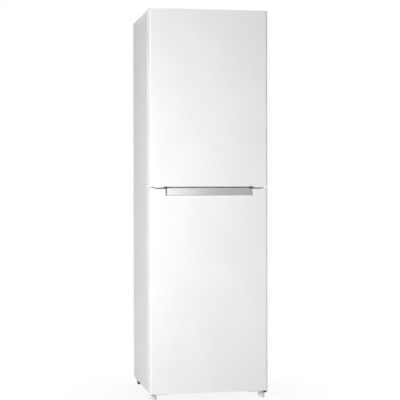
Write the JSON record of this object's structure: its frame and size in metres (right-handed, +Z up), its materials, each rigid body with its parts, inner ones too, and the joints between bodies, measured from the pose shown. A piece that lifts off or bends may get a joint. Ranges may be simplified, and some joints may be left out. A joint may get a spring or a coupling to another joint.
{
  "type": "bottom freezer refrigerator",
  "caption": "Tall white bottom freezer refrigerator: two side-hinged doors with a silver hand grip between them, shelves, drawers and a rear compressor bay.",
  "frame": {"origin": "on the floor, midway between the sides and midway between the doors' front and the condenser", "axes": "+Z up, +X to the right as seen from the front, +Y from the doors towards the back"},
  "size_m": [0.545, 0.574, 1.77],
  "materials": {
    "cabinet_paint": "satin white powder coat",
    "door_paint": "smooth gloss white paint",
    "zinc_steel": "galvanised sheet",
    "screw_steel": "zinc plated",
    "liner_plastic": "vacuum formed, low gloss",
    "white_plastic": "moulded, fine texture",
    "grey_plastic": "moulded",
    "black_plastic": "moulded",
    "clear_plastic": "clear polystyrene",
    "drawer_plastic": "frosted clear polystyrene",
    "foot_plastic": "moulded",
    "foam": "rigid polyurethane foam",
    "gasket_rubber": "soft white vinyl",
    "black_enamel": "black enamel",
    "copper": "drawn copper",
    "evaporator_aluminium": "coated sheet",
    "bulb_glass": "frosted glass",
    "shelf_glass": "tempered glass",
    "grip_metal": "brushed, silver"
  },
  "bodies": {
    "cabinet": {"cabinet_side_left": "cabinet_paint", "cabinet_side_right": "cabinet_paint", "top_panel": "zinc_steel", "back_panel": "zinc_steel", "base_plate": "zinc_steel", "compressor_bulkhead": "zinc_steel", "fridge_liner": "liner_plastic", "freezer_liner": "liner_plastic", "centre_rail": "cabinet_paint", "cabinet_foam": "foam", "top_cover": "white_plastic", "top_hinge": "zinc_steel", "middle_hinge": "zinc_steel", "bottom_hinge": "zinc_steel", "left_foot_bracket": "zinc_steel", "hinge_screws": "screw_steel", "compressor_tray": "zinc_steel", "roller_axles": "screw_steel", "compressor": "black_enamel", "terminal_box": "black_plastic", "condensate_drain": "grey_plastic", "condenser": "black_enamel", "filter_drier": "copper", "refrigerant_pipes": "copper", "evaporators": "evaporator_aluminium", "mains_inlet": "black_plastic", "thermostat_housing": "white_plastic", "lamp_cover": "clear_plastic", "lamp_bulb": "bulb_glass", "fridge_shelf_1": "shelf_glass", "fridge_shelf_2": "shelf_glass", "fridge_shelf_3": "shelf_glass", "crisper_cover": "shelf_glass", "crisper_drawer": "clear_plastic", "freezer_drawer_1": "drawer_plastic", "freezer_drawer_2": "drawer_plastic", "freezer_drawer_3": "drawer_plastic", "freezer_drawer_4": "drawer_plastic"},
    "fridge_door": {"fridge_door_skin": "door_paint", "fridge_door_foam": "foam", "fridge_door_liner": "liner_plastic", "fridge_door_top_cap": "white_plastic", "fridge_door_bottom_cap": "white_plastic", "fridge_door_gasket": "gasket_rubber", "door_shelf_1": "clear_plastic", "door_shelf_2": "clear_plastic", "door_shelf_3": "clear_plastic"},
    "freezer_door": {"freezer_door_skin": "door_paint", "freezer_door_foam": "foam", "freezer_door_liner": "liner_plastic", "freezer_door_top_cap": "white_plastic", "freezer_door_bottom_cap": "white_plastic", "freezer_door_gasket": "gasket_rubber", "grip_plate": "grip_metal"},
    "thermostat_knob": {"thermostat_knob": "white_plastic"},
    "light_switch_plunger": {"light_switch_plunger": "white_plastic"},
    "foot_left": {"foot_left": "foot_plastic"},
    "foot_right": {"foot_right": "foot_plastic"},
    "roller_left": {"roller_left": "black_plastic"},
    "roller_right": {"roller_right": "black_plastic"}
  },
  "joints": [
    {"name": "fridge_door_hinge", "type": "hinge", "parent": "cabinet", "child": "fridge_door", "pos_m": [0.2525, -0.255, 1.36], "axis": [0, 0, 1], "range_deg": [0, 120]},
    {"name": "freezer_door_hinge", "type": "hinge", "parent": "cabinet", "child": "freezer_door", "pos_m": [0.2525, -0.255, 0.5], "axis": [0, 0, 1], "range_deg": [0, 120]},
    {"name": "thermostat_turn", "type": "hinge", "parent": "cabinet", "child": "thermostat_knob", "pos_m": [-0.05, -0.133, 1.67], "axis": [0, 0, 1], "range_deg": [0, 270]},
    {"name": "light_switch_travel", "type": "slide", "parent": "cabinet", "child": "light_switch_plunger", "axis": [0, -1, 0], "range_m": [0, 0.006]},
    {"name": "foot_left_turn", "type": "hinge", "parent": "cabinet", "child": "foot_left", "pos_m": [-0.252, -0.241, 0.011], "axis": [0, 0, 1], "continuous": true},
    {"name": "foot_right_turn", "type": "hinge", "parent": "cabinet", "child": "foot_right", "pos_m": [0.252, -0.241, 0.011], "axis": [0, 0, 1], "continuous": true},
    {"name": "roller_left_spin", "type": "hinge", "parent": "cabinet", "child": "roller_left", "pos_m": [-0.253, 0.218, 0.016], "axis": [1, 0, 0], "continuous": true},
    {"name": "roller_right_spin", "type": "hinge", "parent": "cabinet", "child": "roller_right", "pos_m": [0.253, 0.218, 0.016], "axis": [1, 0, 0], "continuous": true}
  ],
  "couplings": [
    {"joint": "light_switch_travel", "follows": "fridge_door_hinge", "m_per_rad": 0.0028648}
  ]
}
